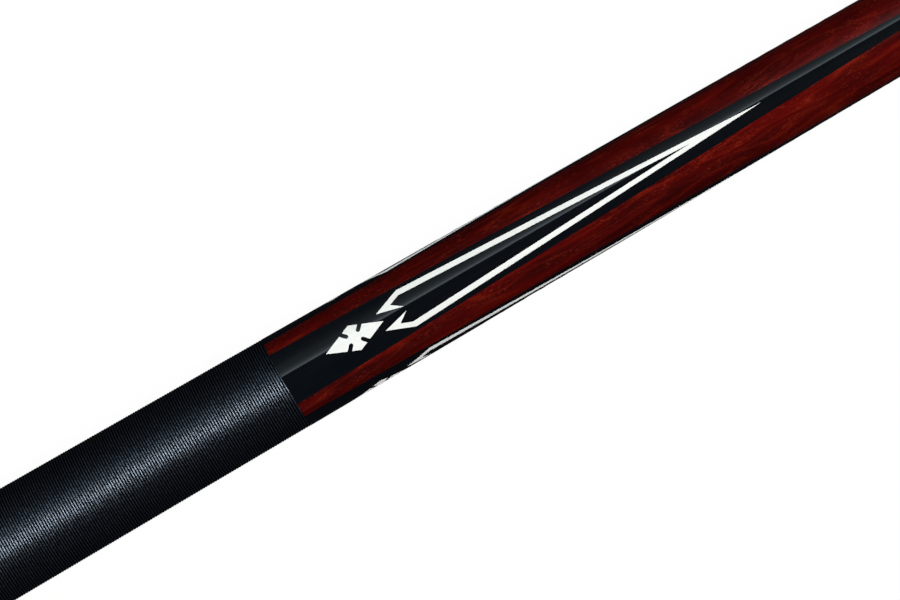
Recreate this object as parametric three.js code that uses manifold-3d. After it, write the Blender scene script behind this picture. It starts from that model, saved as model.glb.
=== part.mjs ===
// A two-piece pool cue lying along +X: rubber bumper at the origin, leather tip at the far end.
// Millimetres, +Z up. Every piece is a separate closed solid, as the cue comes apart on a bench.
import * as THREE from 'three';
import { mergeVertices } from 'three/addons/utils/BufferGeometryUtils.js';
import Module from 'manifold-3d';

const wasm = await Module();
wasm.setup();

// ---- overall lengths ----
const inch = 25.4;
const halfLength = 29 * inch;                  // each half of the cue
const jointX = halfLength;                     // the face where butt and shaft meet
const endX = 2 * halfLength;                   // crown of the tip
const wrapRearX = 4.5 * inch;
const wrapLength = 12 * inch;
const wrapFrontX = wrapRearX + wrapLength;     // rear end of the forearm

// ---- outside diameters: [x, diameter], straight between stations ----
const bumperLength = 12;
const stations = [
  [bumperLength, 31.7],
  [wrapRearX, 30.4],
  [wrapFrontX - 88, 27.84],
  [wrapFrontX, 26.4],
  [jointX, 21.2],
  [endX - 560, 17.6],
  [endX - 400, 14.6],
  [endX - 280, 13.1],
  [endX, 12.9],
];

// ---- clearances ----
const faceGap = 0.05;                          // between end faces that meet
const fitGap = 0.15;                           // radial, round a tenon or a stud
const seatGap = 0.2;                           // round a point or an inlay in its pocket
const sides = 24;                              // facets round every turned piece

// ---- screw threads, 5/16 inch by 18 to the inch ----
const pitch = inch / 18;
const crestRadius = 5 / 16 * inch / 2;
const rootRadius = crestRadius - 0.65 * pitch;
const studBore = crestRadius + fitGap;
const endChamfer = 0.8;
const threadSides = 16;                        // facets round a threaded piece

// ---- ring sets: two bright rings with a black one between ----
const brightRing = 1.0;
const blackRing = 1.6;
const ringSetLength = 2 * brightRing + blackRing + 3 * faceGap;

// ---- shaft end ----
const tipHeight = 6.5;
const tipCrownRadius = 10.6;
const tipRadius = 6.42;
const padThickness = 1.0;
const ferruleLength = 25.4;
const ferruleRadius = 6.45;
const ferruleWall = 2.5;                       // solid front wall of the ferrule
const ferruleTenonRadius = 3.95;

// ---- joint ----
const shaftCollarLength = 8;
const jointCollarLength = 16;
const collarTenonRadius = 7.0;
const insertRadius = 5.2;
const insertLength = 26;
const insertInset = 1.4;
const pinBuried = 36;
const pinThreadTurns = 18;
const threadRunout = 0.5;                      // plain shank between the joint face and the thread
const pinPilotLength = 2;
const pinPilotRadius = 2.9;

// ---- forearm, points and inlays; u runs from the wrap towards the joint ----
const pointCount = 4;
const pointClock = -5;                         // degrees about +X from straight up to the first point
const grooveFloor = 3.4;                       // height of the groove's floor above the axis at the wrap
const grooveLength = 237.4;                     // where the floor runs out through the surface
const inlayDepth = 1.2;
const pocketProud = 2;                         // how far a pocket's cutter stands above the surface
const spearOutline = [                         // one side of the spear, [u, arc width off its centre line]
  [146.0, 0],
  [37.4, 5.76],
  [29.7, 2.55],
  [37.5, 0.55],
  [34.3, 2.83],
  [37.4, 4.0],
  [122.4, 0],
];
const diamondStart = 13.2;
const diamondEnd = 30.7;
const diamondMiddle = 21.9;
const diamondHalfWidth = 3.75;
const notchRadius = 0.58;
const notchSegments = 5;
const notchMouth = [3.5, 3.2];                 // from the diamond's middle, [along, across]
const notchFloor = [1.8, 1.35];                // centre of the notch's round end

// ---- handle ----
const wrapThickness = 0.75;
const forearmBoltLength = 60;
const coreTenonRadius = 10.0;
const buttCapLength = 26;
const coreTenonStart = bumperLength + 10;
const weightBoreRadius = 6.6;
const weightBoreEnd = 108;
const weightBoltStart = 44;
const weightBoltLength = 60;
const weightBoltRadius = 6.35;
const hexSocketRadius = 3.6;
const hexSocketDepth = 7;

// ---- bumper ----
const bumperFaceRadius = 11.5;
const bumperEdgeRadius = 3.5;
const bumperFrontRadius = 15.4;
const bushingInset = 0.6;
const bushingLength = 13.4;
const studStart = 4;
const studFlangeRadius = 7;
const studFlangeThickness = 2.5;
const studThreadInset = 1.2;
const bumperThreadTurns = 8;

const colours = {
  leather: [0x3a5f8a, 0.9, 0],
  fibre: [0x6e1512, 0.7, 0],
  ivoryPlastic: [0xece6d6, 0.3, 0],
  maple: [0xd8b27c, 0.35, 0],
  bright: [0xc4c6c8, 0.2, 1],
  blackPlastic: [0x0b0b0d, 0.15, 0],
  brass: [0xb98a3a, 0.35, 1],
  steel: [0x9a9da1, 0.3, 1],
  redWood: [0x4a0f0a, 0.2, 0],
  whiteInlay: [0xf3f4ee, 0.25, 0],
  handleWood: [0xb99a6a, 0.6, 0],
  thread: [0x14161a, 0.7, 0],
  rubber: [0x151515, 0.9, 0],
};

const cue = new THREE.Group();

function addPiece(name, geometry, finish) {
  const [color, roughness, metalness] = colours[finish];
  const material = new THREE.MeshStandardMaterial({ color, roughness, metalness });
  const mesh = new THREE.Mesh(geometry, material);
  mesh.name = name;
  cue.add(mesh);
}

// Outside radius of the cue at x.
function radiusAt(x) {
  let k = 1;
  while (k < stations.length - 1 && stations[k][0] < x) k += 1;
  const [x0, d0] = stations[k - 1];
  const [x1, d1] = stations[k];
  return THREE.MathUtils.mapLinear(x, x0, x1, d0, d1) / 2;
}

// The outer profile from x0 to x1, as [x, radius], sunk below the cue's surface by depth.
function outside(x0, x1, depth = 0) {
  const between = stations.map(([x]) => x).filter((x) => x > x0 && x < x1);
  return [x0, ...between, x1].map((x) => [x, radiusAt(x) - depth]);
}

// Revolves a closed profile of [x, radius] about the X axis, with a flat facet underneath.
function revolve(loop, facets = sides) {
  const profile = loop.map(([x, r]) => new THREE.Vector2(r, x));
  const geometry = new THREE.LatheGeometry(profile, facets, Math.PI / facets);
  return geometry.rotateZ(-Math.PI / 2);
}

// A solid turned piece: its outer profile runs in rising x, and closes on the axis.
function turned(outer, facets = sides) {
  return revolve([[outer[0][0], 0], ...outer, [outer.at(-1)[0], 0]], facets);
}

// A turned piece bored right through.
function turnedTube(outer, bore) {
  return revolve([...outer, ...[...bore].reverse(), outer[0]]);
}

// A turned piece whose bore is blind: both profiles end on the axis.
function turnedCup(outer, bore) {
  return revolve([...[...bore].reverse(), ...outer]);
}

// Ridges of a screw thread as [x, radius], starting at x0.
function threadProfile(x0, turns) {
  const profile = [[x0, rootRadius]];
  for (let k = 0; k < turns; k += 1) {
    profile.push([x0 + (k + 0.5) * pitch, crestRadius]);
    profile.push([x0 + (k + 1) * pitch, rootRadius]);
  }
  return profile;
}

// ---- booleans ----
function toSolid(geometry) {
  const bare = geometry.clone();
  bare.deleteAttribute('normal');
  bare.deleteAttribute('uv');
  const merged = mergeVertices(bare);
  const corners = Array.from(merged.index.array);
  const kept = [];
  for (let k = 0; k < corners.length; k += 3) {
    const [a, b, c] = corners.slice(k, k + 3);
    if (a !== b && b !== c && c !== a) kept.push(a, b, c);
  }
  return new wasm.Manifold(new wasm.Mesh({
    numProp: 3,
    vertProperties: Float32Array.from(merged.attributes.position.array),
    triVerts: Uint32Array.from(kept),
  }));
}

function toGeometry(solid) {
  const mesh = solid.getMesh();
  const geometry = new THREE.BufferGeometry();
  geometry.setAttribute('position', new THREE.BufferAttribute(mesh.vertProperties, 3));
  geometry.setIndex(new THREE.BufferAttribute(mesh.triVerts, 1));
  geometry.computeVertexNormals();
  return geometry;
}

// ---- forearm, points and inlays ----
const forearmFrontX = jointX - jointCollarLength - ringSetLength;
const forearmSkin = outside(wrapFrontX, forearmFrontX);
const grooveSlope = (radiusAt(wrapFrontX + grooveLength) - grooveFloor) / grooveLength;

// A right-angled V open towards +Z, its floor rising from the wrap towards the joint.
function grooveCutter(lift) {
  const overrun = 4;
  const depth = 20;
  const section = new THREE.Shape([
    new THREE.Vector2(0, 0),
    new THREE.Vector2(depth, depth),
    new THREE.Vector2(-depth, depth),
  ]);
  const cutter = new THREE.ExtrudeGeometry(section, {
    depth: grooveLength + 3 * overrun,
    bevelEnabled: false,
  });
  cutter.applyMatrix4(new THREE.Matrix4().makeBasis(
    new THREE.Vector3(0, 1, 0),
    new THREE.Vector3(0, 0, 1),
    new THREE.Vector3(1, 0, 0),
  ));
  cutter.rotateY(-Math.atan(grooveSlope));
  return cutter.translate(wrapFrontX - overrun, 0, grooveFloor - overrun * grooveSlope + lift);
}

// Moves each corner of a closed outline outwards by distance, and a needle-sharp one
// by no more than four times that.
function grown(outline, distance) {
  const count = outline.length;
  const area = THREE.ShapeUtils.area(outline);
  return outline.map((corner, k) => {
    const before = corner.clone().sub(outline[(k + count - 1) % count]).normalize();
    const after = outline[(k + 1) % count].clone().sub(corner).normalize();
    const outward = (edge) => new THREE.Vector2(edge.y, -edge.x).multiplyScalar(Math.sign(area));
    const bisector = outward(before).add(outward(after)).normalize();
    const reach = distance / Math.max(bisector.dot(outward(after)), 1 / 4);
    return corner.clone().addScaledVector(bisector, reach);
  });
}

// A point of an inlay's outline, from its arc width to the flat plan above the forearm.
function plan(u, arc) {
  const radius = radiusAt(wrapFrontX + u);
  return new THREE.Vector2(wrapFrontX + u, radius * Math.sin(arc / radius));
}

function prism(shape) {
  const height = 16;
  return toSolid(new THREE.ExtrudeGeometry(shape, {
    depth: height,
    bevelEnabled: false,
    curveSegments: notchSegments,
  }));
}

function spearPrism(growth) {
  const inner = spearOutline.slice(1, -1).reverse().map(([u, arc]) => [u, -arc]);
  const outline = [...spearOutline, ...inner].map(([u, arc]) => plan(u, arc));
  return prism(new THREE.Shape(grown(outline, growth)));
}

// One of the four notches: a channel with a round end, open at the diamond's edge.
function notchPrism(alongSide, acrossSide, growth) {
  const mouth = plan(diamondMiddle + alongSide * notchMouth[0], acrossSide * notchMouth[1]);
  const floor = plan(diamondMiddle + alongSide * notchFloor[0], acrossSide * notchFloor[1]);
  const radius = notchRadius - growth;
  const heading = mouth.clone().sub(floor).angle();
  const side = new THREE.Vector2(radius, 0).rotateAround(new THREE.Vector2(), heading - Math.PI / 2);
  const shape = new THREE.Shape();
  shape.moveTo(mouth.x + side.x, mouth.y + side.y);
  shape.lineTo(mouth.x - side.x, mouth.y - side.y);
  shape.lineTo(floor.x - side.x, floor.y - side.y);
  shape.absarc(floor.x, floor.y, radius, heading + Math.PI / 2, heading + 1.5 * Math.PI, false);
  return prism(shape);
}

function diamondPrism(growth) {
  const outline = [
    plan(diamondStart, 0),
    plan(diamondMiddle, -diamondHalfWidth),
    plan(diamondEnd, 0),
    plan(diamondMiddle, diamondHalfWidth),
  ];
  let diamond = prism(new THREE.Shape(grown(outline, growth)));
  for (const alongSide of [-1, 1]) {
    for (const acrossSide of [-1, 1]) {
      diamond = diamond.subtract(notchPrism(alongSide, acrossSide, growth));
    }
  }
  return diamond;
}

// The layer of the forearm from depth below its surface to proud above it.
function surfaceLayer(depth, proud = 0) {
  const skin = forearmSkin.map(([x, r]) => [x, r + proud]);
  const floor = forearmSkin.map(([x, r]) => [x, r - depth]);
  return toSolid(turnedTube(skin, floor));
}

function makeForearm() {
  const front = jointX - faceGap;
  const boltBoreEnd = wrapFrontX + forearmBoltLength / 2 + 1;
  const blank = toSolid(turned([
    ...forearmSkin,
    [forearmFrontX, collarTenonRadius],
    [front, collarTenonRadius],
  ]));
  const boltBore = toSolid(turned([[wrapFrontX - 1, studBore], [boltBoreEnd, studBore]]));
  const pinBore = toSolid(turned([[jointX - pinBuried - 1, studBore], [jointX + 1, studBore]]));
  const skinSolid = toSolid(turned(forearmSkin));
  const groove = toSolid(grooveCutter(0));
  const seat = toSolid(grooveCutter(seatGap * Math.SQRT2));
  const pocketLayer = surfaceLayer(inlayDepth + seatGap, pocketProud);
  const inlayLayer = surfaceLayer(inlayDepth);
  const pockets = spearPrism(seatGap).add(diamondPrism(seatGap)).intersect(pocketLayer);
  const point = skinSolid.intersect(seat).subtract(boltBore).subtract(pockets);
  const spear = spearPrism(0).intersect(inlayLayer);
  const diamond = diamondPrism(0).intersect(inlayLayer);

  let forearm = blank.subtract(boltBore).subtract(pinBore);
  for (let k = 0; k < pointCount; k += 1) {
    const turn = [pointClock + k * 360 / pointCount, 0, 0];
    forearm = forearm.subtract(groove.rotate(turn)).subtract(pockets.rotate(turn));
    addPiece(`point_${k + 1}`, toGeometry(point.rotate(turn)), 'blackPlastic');
    addPiece(`spear_inlay_${k + 1}`, toGeometry(spear.rotate(turn)), 'whiteInlay');
    addPiece(`diamond_inlay_${k + 1}`, toGeometry(diamond.rotate(turn)), 'whiteInlay');
  }
  addPiece('forearm', toGeometry(forearm), 'redWood');
}

// ---- ring sets ----
// Three rings side by side from x0, bored to sit on a tenon.
function makeRingSet(name, x0, boreRadius) {
  const rings = [[brightRing, 'bright'], [blackRing, 'blackPlastic'], [brightRing, 'bright']];
  let x = x0;
  rings.forEach(([width, finish], k) => {
    const bore = [[x, boreRadius], [x + width, boreRadius]];
    addPiece(`${name}_${k + 1}`, turnedTube(outside(x, x + width), bore), finish);
    x += width + faceGap;
  });
}

// ---- shaft end ----
function makeTip() {
  const rear = endX - tipHeight;
  const rise = Math.asin(tipRadius / tipCrownRadius);
  const steps = 4;
  const crown = [];
  for (let k = 0; k < steps; k += 1) {
    const angle = rise * (1 - k / steps);
    crown.push([
      endX - tipCrownRadius * (1 - Math.cos(angle)),
      tipCrownRadius * Math.sin(angle),
    ]);
  }
  addPiece('tip', turned([[rear, tipRadius], ...crown, [endX, 0]]), 'leather');
}

function makeTipPad() {
  const front = endX - tipHeight - faceGap;
  const rear = front - padThickness;
  addPiece('tip_pad', turned([[rear, tipRadius], [front, tipRadius]]), 'fibre');
}

const ferruleFrontX = endX - tipHeight - padThickness - 2 * faceGap;
const ferruleRearX = ferruleFrontX - ferruleLength;

function makeFerrule() {
  const boreRadius = ferruleTenonRadius + fitGap;
  const boreEnd = ferruleFrontX - ferruleWall;
  const outer = [
    [ferruleRearX, ferruleRadius],
    [ferruleFrontX, ferruleRadius],
    [ferruleFrontX, 0],
  ];
  const bore = [[ferruleRearX, boreRadius], [boreEnd, boreRadius], [boreEnd, 0]];
  addPiece('ferrule', turnedCup(outer, bore), 'ivoryPlastic');
}

function makeShaft() {
  const rear = jointX + faceGap;
  const shoulder = rear + shaftCollarLength + ringSetLength + faceGap;
  const front = ferruleRearX - faceGap;
  const tenonEnd = ferruleFrontX - ferruleWall - fitGap;
  const insertEnd = rear + insertInset + insertLength + faceGap;
  const drillEnd = insertEnd + 5;
  const outer = [
    [rear, collarTenonRadius],
    [shoulder, collarTenonRadius],
    ...outside(shoulder, front),
    [front, ferruleTenonRadius],
    [tenonEnd, ferruleTenonRadius],
    [tenonEnd, 0],
  ];
  const bore = [
    [rear, insertRadius + fitGap],
    [insertEnd, insertRadius + fitGap],
    [insertEnd, studBore],
    [drillEnd, studBore],
    [drillEnd, 0],
  ];
  addPiece('shaft', turnedCup(outer, bore), 'maple');
}

function makeShaftCollar() {
  const rear = jointX + faceGap;
  const front = rear + shaftCollarLength;
  const boreRadius = collarTenonRadius + fitGap;
  const bore = [[rear, boreRadius], [front, boreRadius]];
  addPiece('shaft_collar', turnedTube(outside(rear, front), bore), 'blackPlastic');
  makeRingSet('shaft_ring', front + faceGap, boreRadius);
}

function makeShaftInsert() {
  const rear = jointX + faceGap + insertInset;
  const front = rear + insertLength;
  const outer = [[rear, insertRadius], [front, insertRadius]];
  const bore = [[rear, studBore], [front, studBore]];
  addPiece('shaft_insert', turnedTube(outer, bore), 'brass');
}

// ---- joint ----
function makeJointPin() {
  const rear = jointX - pinBuried;
  const threadStart = jointX + threadRunout;
  const thread = threadProfile(threadStart, pinThreadTurns);
  const threadEnd = thread.at(-1)[0];
  addPiece('joint_pin', turned([
    [rear, crestRadius - endChamfer],
    [rear + endChamfer, crestRadius],
    [jointX, crestRadius],
    ...thread,
    [threadEnd + endChamfer, pinPilotRadius],
    [threadEnd + pinPilotLength - endChamfer, pinPilotRadius],
    [threadEnd + pinPilotLength, pinPilotRadius - endChamfer],
  ], threadSides), 'steel');
}

function makeJointCollar() {
  const rear = jointX - jointCollarLength;
  const front = jointX - faceGap;
  const boreRadius = collarTenonRadius + fitGap;
  const bore = [[rear, boreRadius], [front, boreRadius]];
  addPiece('joint_collar', turnedTube(outside(rear, front), bore), 'blackPlastic');
  makeRingSet('joint_ring', forearmFrontX + faceGap, boreRadius);
}

// ---- handle ----
const sleeveFrontX = wrapRearX - ringSetLength;
const capFrontX = bumperLength + faceGap + buttCapLength;
const sleeveRearX = capFrontX + ringSetLength + faceGap;

function makeForearmBolt() {
  const rear = wrapFrontX - forearmBoltLength / 2;
  const front = wrapFrontX + forearmBoltLength / 2;
  addPiece('forearm_bolt', turned([
    [rear, crestRadius - endChamfer],
    [rear + endChamfer, crestRadius],
    [front - endChamfer, crestRadius],
    [front, crestRadius - endChamfer],
  ]), 'steel');
}

function makeHandleCore() {
  const front = wrapFrontX - faceGap;
  const shoulder = wrapRearX + faceGap;
  const boltBoreStart = wrapFrontX - forearmBoltLength / 2 - 1;
  const blank = toSolid(turned([
    [coreTenonStart + faceGap, coreTenonRadius],
    [shoulder, coreTenonRadius],
    ...outside(shoulder, front, wrapThickness + faceGap),
  ]));
  const boltBore = toSolid(turned([[boltBoreStart, studBore], [wrapFrontX + 1, studBore]]));
  const weightBore = toSolid(turned([
    [bumperLength, weightBoreRadius],
    [weightBoreEnd, weightBoreRadius],
  ]));
  const core = blank.subtract(boltBore).subtract(weightBore);
  addPiece('handle_core', toGeometry(core), 'handleWood');
}

function makeWrap() {
  const rear = wrapRearX + faceGap;
  const front = wrapFrontX - faceGap;
  const geometry = turnedTube(outside(rear, front), outside(rear, front, wrapThickness));
  addPiece('wrap', geometry, 'thread');
}

function makeButtSleeve() {
  const boreRadius = coreTenonRadius + fitGap;
  const bore = [[sleeveRearX, boreRadius], [sleeveFrontX, boreRadius]];
  addPiece('butt_sleeve', turnedTube(outside(sleeveRearX, sleeveFrontX), bore), 'redWood');
  makeRingSet('sleeve_front_ring', sleeveFrontX + faceGap, boreRadius);
  makeRingSet('sleeve_rear_ring', capFrontX + faceGap, boreRadius);
}

function makeButtCap() {
  const rear = bumperLength + faceGap;
  const recess = coreTenonRadius + fitGap;
  addPiece('butt_cap', turnedTube(outside(rear, capFrontX), [
    [rear, weightBoreRadius],
    [coreTenonStart, weightBoreRadius],
    [coreTenonStart, recess],
    [capFrontX, recess],
  ]), 'blackPlastic');
}

function makeWeightBolt() {
  const front = weightBoltStart + weightBoltLength;
  const blank = toSolid(turned([
    [weightBoltStart, weightBoltRadius - endChamfer],
    [weightBoltStart + endChamfer, weightBoltRadius],
    [front - endChamfer, weightBoltRadius],
    [front, weightBoltRadius - endChamfer],
  ]));
  const socket = new THREE.CylinderGeometry(hexSocketRadius, hexSocketRadius, 2 * hexSocketDepth, 6);
  socket.rotateZ(-Math.PI / 2).translate(weightBoltStart, 0, 0);
  addPiece('weight_bolt', toGeometry(blank.subtract(toSolid(socket))), 'steel');
}

// ---- bumper ----
function makeBumperBushing() {
  const rear = bumperLength + bushingInset;
  const front = rear + bushingLength;
  const outer = [[rear, weightBoltRadius], [front, weightBoltRadius]];
  const bore = [[rear, studBore], [front, studBore]];
  addPiece('bumper_bushing', turnedTube(outer, bore), 'brass');
}

function makeBumperStud() {
  const flangeRear = studStart;
  const flangeFront = flangeRear + studFlangeThickness;
  const thread = threadProfile(bumperLength + studThreadInset, bumperThreadTurns);
  addPiece('bumper_stud', turned([
    [flangeRear, studFlangeRadius],
    [flangeFront, studFlangeRadius],
    [flangeFront, crestRadius],
    [bumperLength, crestRadius],
    ...thread,
    [thread.at(-1)[0] + endChamfer, rootRadius - endChamfer],
  ], threadSides), 'steel');
}

function makeBumper() {
  const steps = 4;
  const edge = [];
  for (let k = 0; k <= steps; k += 1) {
    const angle = k / steps * Math.PI / 2;
    edge.push([
      bumperEdgeRadius * (1 - Math.sin(angle)),
      bumperFaceRadius + bumperEdgeRadius * Math.cos(angle),
    ]);
  }
  const outer = [[0, 0], ...edge.reverse(), [bumperLength, bumperFrontRadius]];
  const flangeRear = studStart - fitGap;
  const flangeFront = studStart + studFlangeThickness + fitGap;
  const cavity = [
    [bumperLength, studBore],
    [flangeFront, studBore],
    [flangeFront, studFlangeRadius + fitGap],
    [flangeRear, studFlangeRadius + fitGap],
    [flangeRear, 0],
  ];
  addPiece('bumper', revolve([...outer, ...cavity]), 'rubber');
}

makeTip();
makeTipPad();
makeFerrule();
makeShaft();
makeShaftCollar();
makeShaftInsert();
makeJointPin();
makeJointCollar();
makeForearm();
makeForearmBolt();
makeHandleCore();
makeWrap();
makeButtSleeve();
makeButtCap();
makeWeightBolt();
makeBumperBushing();
makeBumperStud();
makeBumper();

export default cue;
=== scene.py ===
"""Looks for a two-piece pool cue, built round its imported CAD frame.

The cue lies along +X: rubber bumper at the origin, leather tip at the far end, +Z up.
Shapes are worked out in millimetres, and a mesh is scaled to metres as it is made.
An angle round the cue is measured from +Z towards +Y.
"""

import math

import bpy
import numpy as np
from mathutils import Matrix, Vector
from mathutils.geometry import delaunay_2d_cdt


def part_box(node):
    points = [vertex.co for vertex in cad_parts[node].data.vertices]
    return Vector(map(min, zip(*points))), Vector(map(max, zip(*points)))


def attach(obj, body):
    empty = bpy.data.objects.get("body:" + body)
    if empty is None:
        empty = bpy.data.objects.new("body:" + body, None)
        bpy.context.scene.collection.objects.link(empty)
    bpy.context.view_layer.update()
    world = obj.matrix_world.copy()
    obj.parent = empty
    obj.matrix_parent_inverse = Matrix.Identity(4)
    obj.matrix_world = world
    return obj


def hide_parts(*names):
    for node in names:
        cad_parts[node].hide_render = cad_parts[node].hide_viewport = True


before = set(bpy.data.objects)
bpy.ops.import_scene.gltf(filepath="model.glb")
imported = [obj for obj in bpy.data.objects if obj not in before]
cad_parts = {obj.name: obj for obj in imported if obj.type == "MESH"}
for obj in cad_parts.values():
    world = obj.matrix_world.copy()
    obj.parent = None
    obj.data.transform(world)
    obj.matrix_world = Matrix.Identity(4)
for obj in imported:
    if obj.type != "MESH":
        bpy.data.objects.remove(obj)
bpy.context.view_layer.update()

MM = 0.001
SIDES = 96                                  # flats round a smooth turned piece
SHARP_ANGLE = math.radians(40)

# ---- sizes that the CAD also uses, in millimetres ----
STATIONS = [                                # outside diameter along the cue: (x, diameter)
    (12.0, 31.7),
    (114.3, 30.4),
    (331.1, 27.84),
    (419.1, 26.4),
    (736.6, 21.2),
    (913.2, 17.6),
    (1073.2, 14.6),
    (1193.2, 13.1),
    (1473.2, 12.9),
]
FACE_GAP = 0.05                             # between two end faces
FIT_GAP = 0.15                              # between a round piece and its bore
JOINT_X = 736.6                             # where butt and shaft meet
TENON_RADIUS = 7.0                          # under the collars and rings of the joint
SLEEVE_TENON_RADIUS = 10.0                  # of the handle core, under the butt sleeve
FERRULE_TENON_RADIUS = 3.95
FERRULE_RADIUS = 6.45
TIP_RADIUS = 6.42
INSERT_RADIUS = 5.2
BUSHING_RADIUS = 6.35
WEIGHT_BORE = 6.6
STUD_FLANGE_RADIUS = 7.0                    # the flange is moulded into the bumper
STUD_FLANGE_LENGTH = 2.5
BOLT_BORE_DEPTH = 31.0                      # into the forearm's rear face
PIN_BORE_DEPTH = 37.0                       # from the joint face into the forearm

# screws, 5/16 inch by 18
PITCH = 25.4 / 18
CREST_RADIUS = 3.969
ROOT_RADIUS = 3.052
STUD_BORE = CREST_RADIUS + FIT_GAP
PIN_TURNS = 18
PIN_RUNOUT = 0.5                            # plain shank ahead of the joint face
STUD_TURNS = 8
STUD_RUNOUT = 1.2                           # plain shank ahead of the bumper

# points and inlays; u runs from the wrap towards the joint
POINT_COUNT = 4
POINT_CLOCK = 5.0                           # degrees from +Z towards +Y, to the first point
GROOVE_FLOOR = 3.4                          # height above the axis at the wrap
GROOVE_LENGTH = 237.4
DIAMOND_START = 13.2
DIAMOND_MIDDLE = 21.9
DIAMOND_END = 30.7
DIAMOND_HALF_WIDTH = 3.75
NOTCH_RADIUS = 0.58
NOTCH_MOUTH = (3.5, 3.2)                    # from the diamond's middle, (along, across)
NOTCH_FLOOR = (1.8, 1.35)

# wound thread
THREAD_PITCH = 0.74
WRAP_THICKNESS = 0.75

# ---- sizes of this model's own, in millimetres ----
INLAY_DEPTH = 0.7
SPEAR_OUTLINE = [                           # one side, (u, arc width): the CAD's, but with
    (146.0, 0.0),                           # its arms' edges drawn in by 0.08 mm
    (37.6, 5.68),
    (29.9, 2.55),
    (37.3, 0.66),
    (34.3, 2.83),
    (37.4, 4.08),
    (124.2, 0.0),
]
THREAD_RIDGE = 0.16                         # depth of the grooves between turns of thread
THREAD_SECTION = [(0.0, 0.0), (0.22, 0.8), (0.5, 1.0), (0.78, 0.8)]
THREAD_SIDES = 56                           # flats to a turn
SCREW_SECTION = [(0.0, 0.0), (0.08, 0.0), (0.44, 1.0), (0.56, 1.0), (0.92, 0.0)]
SCREW_SIDES = 40
SCREW_RUN_IN = 0.6                          # turns over which a ridge grows to full height
CHALK_START = 1469.5                        # the tip is blue from here
CHALK_FADE = 2.2


def radius_at(x):
    """Outside radius of the cue at x."""
    places, diameters = zip(*STATIONS)
    return float(np.interp(x, places, diameters)) / 2


def span(node_name):
    """Where a CAD node starts and ends along the cue, in millimetres."""
    low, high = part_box(node_name)
    return low[0] / MM, high[0] / MM


def outside(start, end, depth=0.0):
    """The cue's outer profile from start to end, as (x, radius), sunk by depth."""
    between = [x for x, _ in STATIONS if start < x < end]
    return [(x, radius_at(x) - depth) for x in (start, *between, end)]


# ---------------------------------------------------------------- meshes

def around(x, radius, angle):
    """The point at x, at a radius and an angle round the cue."""
    return (x, radius * math.sin(angle), radius * math.cos(angle))


def without_repeats(corners):
    """The corners of a face, each that equals the one before it left out."""
    kept = [c for k, c in enumerate(corners) if c != corners[k - 1]]
    return tuple(kept)


def add_piece(name, points, faces, material, body, replaced, normals=None):
    """Makes a mesh of points in millimetres, and hands it to the frame."""
    mesh = bpy.data.meshes.new(name)
    mesh.from_pydata((np.asarray(points) * MM).tolist(), [], faces)
    mesh.shade_smooth()
    mesh.set_sharp_from_angle(angle=SHARP_ANGLE)
    if normals is not None:
        mesh.normals_split_custom_set(normals)
    mesh.materials.append(material)
    piece = bpy.data.objects.new(name, mesh)
    bpy.context.scene.collection.objects.link(piece)
    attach(piece, body)
    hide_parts(*replaced)


def add_ring(points, x, radius, sides):
    """Adds a ring of points, or one point on the axis. Returns the ring's corners."""
    first = len(points)
    if radius == 0:
        points.append((x, 0.0, 0.0))
        return [first] * sides
    points.extend(around(x, radius, math.tau * j / sides) for j in range(sides))
    return list(range(first, first + sides))


def revolved(profile, loop):
    """Points and faces of a profile of (x, radius) turned about the cue's axis.

    The profile rises in x on the outside. It starts and ends on the axis, or it is a loop.
    """
    points = []
    rings = [add_ring(points, x, radius, SIDES) for x, radius in profile]
    pairs = list(zip(rings, rings[1:]))
    if loop:
        pairs.append((rings[-1], rings[0]))
    faces = []
    for near, far in pairs:
        faces.extend(bridged(near, far))
    return points, faces


def bridged(near, far):
    """Faces between two rings of corners, the second ahead of the first."""
    faces = []
    count = len(near)
    for j in range(count):
        after = (j + 1) % count
        face = without_repeats([near[j], far[j], far[after], near[after]])
        if len(face) > 2:
            faces.append(face)
    return faces


def turned(name, profile, material, body, replaced, loop=False):
    """Adds a piece made by turning a profile about the cue's axis."""
    points, faces = revolved(profile, loop)
    add_piece(name, points, faces, material, body, replaced)


def bevelled(profile, first, last):
    """A rising outer profile with its first and last corners cut back at 45 degrees."""
    (x0, r0), (x1, r1) = profile[0], profile[-1]
    start = [(x0, r0 - first), (x0 + first, r0)] if first else [(x0, r0)]
    end = [(x1 - last, r1), (x1, r1 - last)] if last else [(x1, r1)]
    return [*start, *profile[1:-1], *end]


def wound_strip(start, end, pitch, section, surface, sides):
    """A helical strip from start to end, its ends flattened square across the axis.

    section lists (fraction of the pitch, height) across one turn, from one root to the next.
    surface(x, height, turns from the start) gives a radius.
    Returns points, faces, and the rings of corners at the two ends.
    """
    turns = (end - start) / pitch
    rows = len(section)
    steps = (math.ceil(turns) + 1) * sides
    points = []
    first = add_ring(points, start, surface(start, 0.0, 0.0), sides)
    last = add_ring(points, end, surface(end, 0.0, turns), sides)
    grid = np.zeros((steps + sides + 1, rows), dtype=int)
    for m in range(steps + sides + 1):
        j = m % sides
        for k, (fraction, height) in enumerate(section):
            turn = m / sides + fraction - 1
            if turn <= 0:
                grid[m, k] = first[j]
            elif turn >= turns:
                grid[m, k] = last[j]
            else:
                x = start + turn * pitch
                grid[m, k] = len(points)
                points.append(around(x, surface(x, height, turn), math.tau * j / sides))
    faces = []
    for m in range(steps):
        for k in range(rows):
            ahead = (m, k + 1) if k + 1 < rows else (m + sides, 0)
            corners = [
                int(grid[m, k]),
                int(grid[ahead]),
                int(grid[ahead[0] + 1, ahead[1]]),
                int(grid[m + 1, k]),
            ]
            face = without_repeats(corners)
            if len(set(face)) == len(face) > 2:
                faces.append(face)
    return points, faces, first, last


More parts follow.
